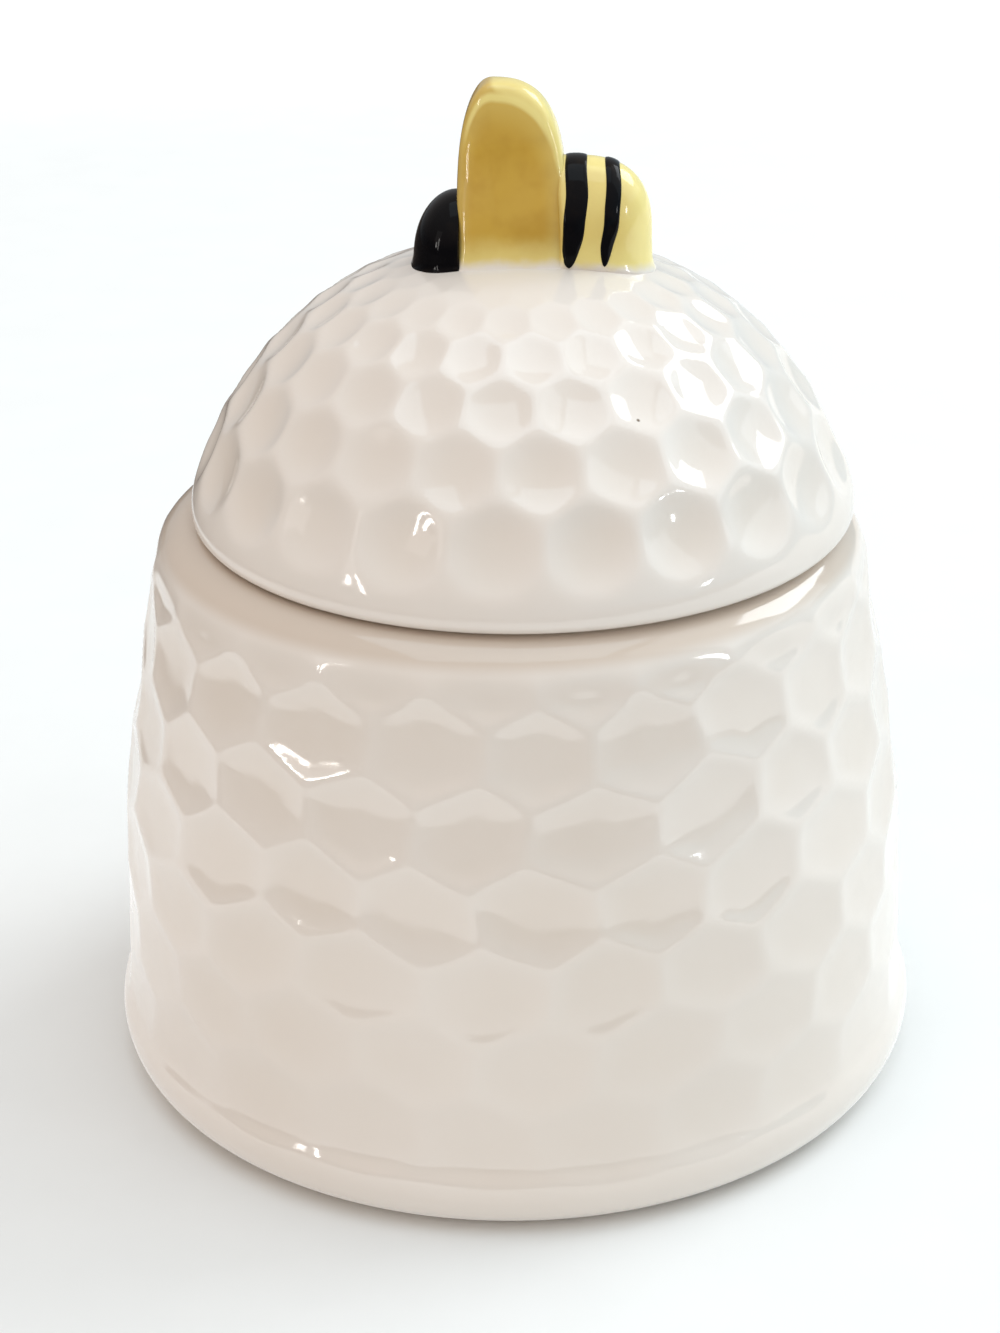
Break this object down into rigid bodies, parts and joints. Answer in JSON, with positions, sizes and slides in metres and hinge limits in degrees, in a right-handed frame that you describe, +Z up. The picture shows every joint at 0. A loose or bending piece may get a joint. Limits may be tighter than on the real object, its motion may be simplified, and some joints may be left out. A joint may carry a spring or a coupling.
{
  "type": "honey pot",
  "caption": "Round glazed ceramic honey pot with honeycomb relief and a lift-off domed lid whose knob is a bee.",
  "frame": {"origin": "on the surface the pot stands on, at the centre of its foot ring", "axes": "+Z up through the mouth; the bee on the lid faces -X; the pictured side faces -Y"},
  "size_m": [0.1108, 0.1108, 0.1322],
  "materials": {
    "white_glaze": "gloss",
    "yellow_glaze": "gloss",
    "black_glaze": "gloss"
  },
  "bodies": {
    "pot": {"pot_body": "white_glaze"},
    "lid": {"lid": "white_glaze", "bee_wings": "yellow_glaze", "bee_abdomen": "yellow_glaze", "bee_head": "black_glaze"}
  },
  "joints": [
    {"name": "lid_lift", "type": "slide", "parent": "pot", "child": "lid", "axis": [0, 0, 1], "range_m": [0, 0.1]}
  ]
}
